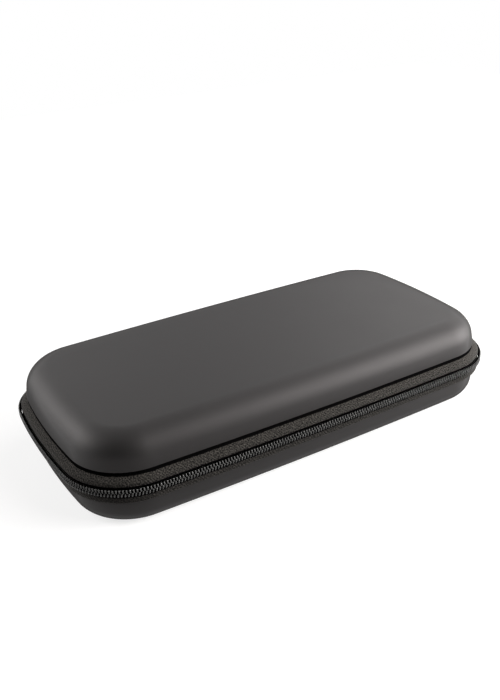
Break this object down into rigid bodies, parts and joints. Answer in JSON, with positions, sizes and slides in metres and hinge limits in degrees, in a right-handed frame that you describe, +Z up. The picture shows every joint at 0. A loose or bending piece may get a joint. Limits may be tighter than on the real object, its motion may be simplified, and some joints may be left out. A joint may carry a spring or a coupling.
{
  "type": "portable game console case",
  "caption": "Rounded hard-shell zip case for a handheld game console, with a hinged lid, a coil zip round three sides and a net pocket inside the lid.",
  "frame": {"origin": "on the table under the middle of the base", "axes": "+X along the length to the right, -Y to the front, +Y to the hinge, +Z up"},
  "size_m": [0.2406, 0.1291, 0.044],
  "materials": {
    "shell_skin": "soft matt moulded skin, warm black",
    "zip_tape": "woven tape, black",
    "coil": "nylon coil, black, satin",
    "binding": "ribbon, black",
    "net": "knitted net, black",
    "slider_metal": "black enamel on die-cast metal, satin"
  },
  "bodies": {
    "base": {"base_shell": "shell_skin", "lower_zip_tape": "zip_tape", "lower_zip_coil": "coil", "lower_rim_binding": "binding", "hinge_strip": "zip_tape"},
    "lid": {"lid_shell": "shell_skin", "upper_zip_tape": "zip_tape", "upper_zip_coil": "coil", "upper_rim_binding": "binding", "lid_pocket_net": "net", "lid_pocket_hem": "binding"},
    "slider": {"zip_slider": "slider_metal"},
    "pull": {"pull_tab": "slider_metal"}
  },
  "joints": [
    {"name": "lid_hinge", "type": "hinge", "parent": "base", "child": "lid", "pos_m": [0, 0.0614, 0.0219], "axis": [-1, 0, 0], "range_deg": [0, 170], "deforming": ["hinge_strip"]},
    {"name": "slider_run", "type": "hinge", "parent": "base", "child": "slider", "pos_m": [0.08602, 0.02811, 0.0219], "axis": [0, 0, -1], "range_deg": [0, 63]},
    {"name": "pull_swing", "type": "hinge", "parent": "slider", "child": "pull", "pos_m": [0.09279, 0.06265, 0.0219], "axis": [0, 0, -1], "range_deg": [0, 165]}
  ]
}
